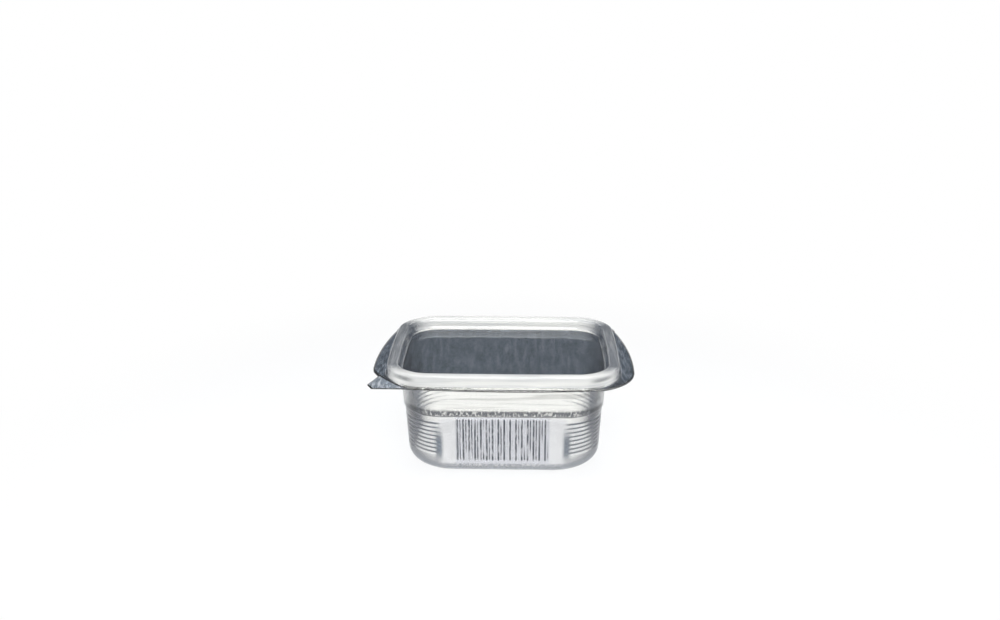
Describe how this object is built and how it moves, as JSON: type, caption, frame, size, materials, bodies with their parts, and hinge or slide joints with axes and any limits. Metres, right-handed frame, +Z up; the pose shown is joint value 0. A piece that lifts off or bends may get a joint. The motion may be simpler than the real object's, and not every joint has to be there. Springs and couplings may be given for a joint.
{
  "type": "clear hinged-lid food pack",
  "caption": "Shallow clear plastic clamshell pack with a fluted tub, a recessed stacking lid on a living hinge and wide rim flanges.",
  "frame": {"origin": "centre of the tub's underside, in the plane it stands on", "axes": "+X along the long side, to the right as seen from the opening edge; +Y from the opening edge towards the hinge; +Z up"},
  "size_m": [0.181, 0.1441, 0.078],
  "materials": {
    "clear_tub": "clear glossy thermoformed sheet",
    "clear_lid": "clear glossy thermoformed sheet",
    "clear_fold": "clear glossy thermoformed sheet, stretched at the fold"
  },
  "bodies": {
    "base": {"base": "clear_tub", "living_hinge": "clear_fold"},
    "lid": {"lid": "clear_lid"}
  },
  "joints": [
    {"name": "lid_hinge", "type": "hinge", "parent": "base", "child": "lid", "pos_m": [0, 0.074, 0.0695], "axis": [-1, 0, 0], "range_deg": [0, 180], "deforming": ["living_hinge"]}
  ]
}
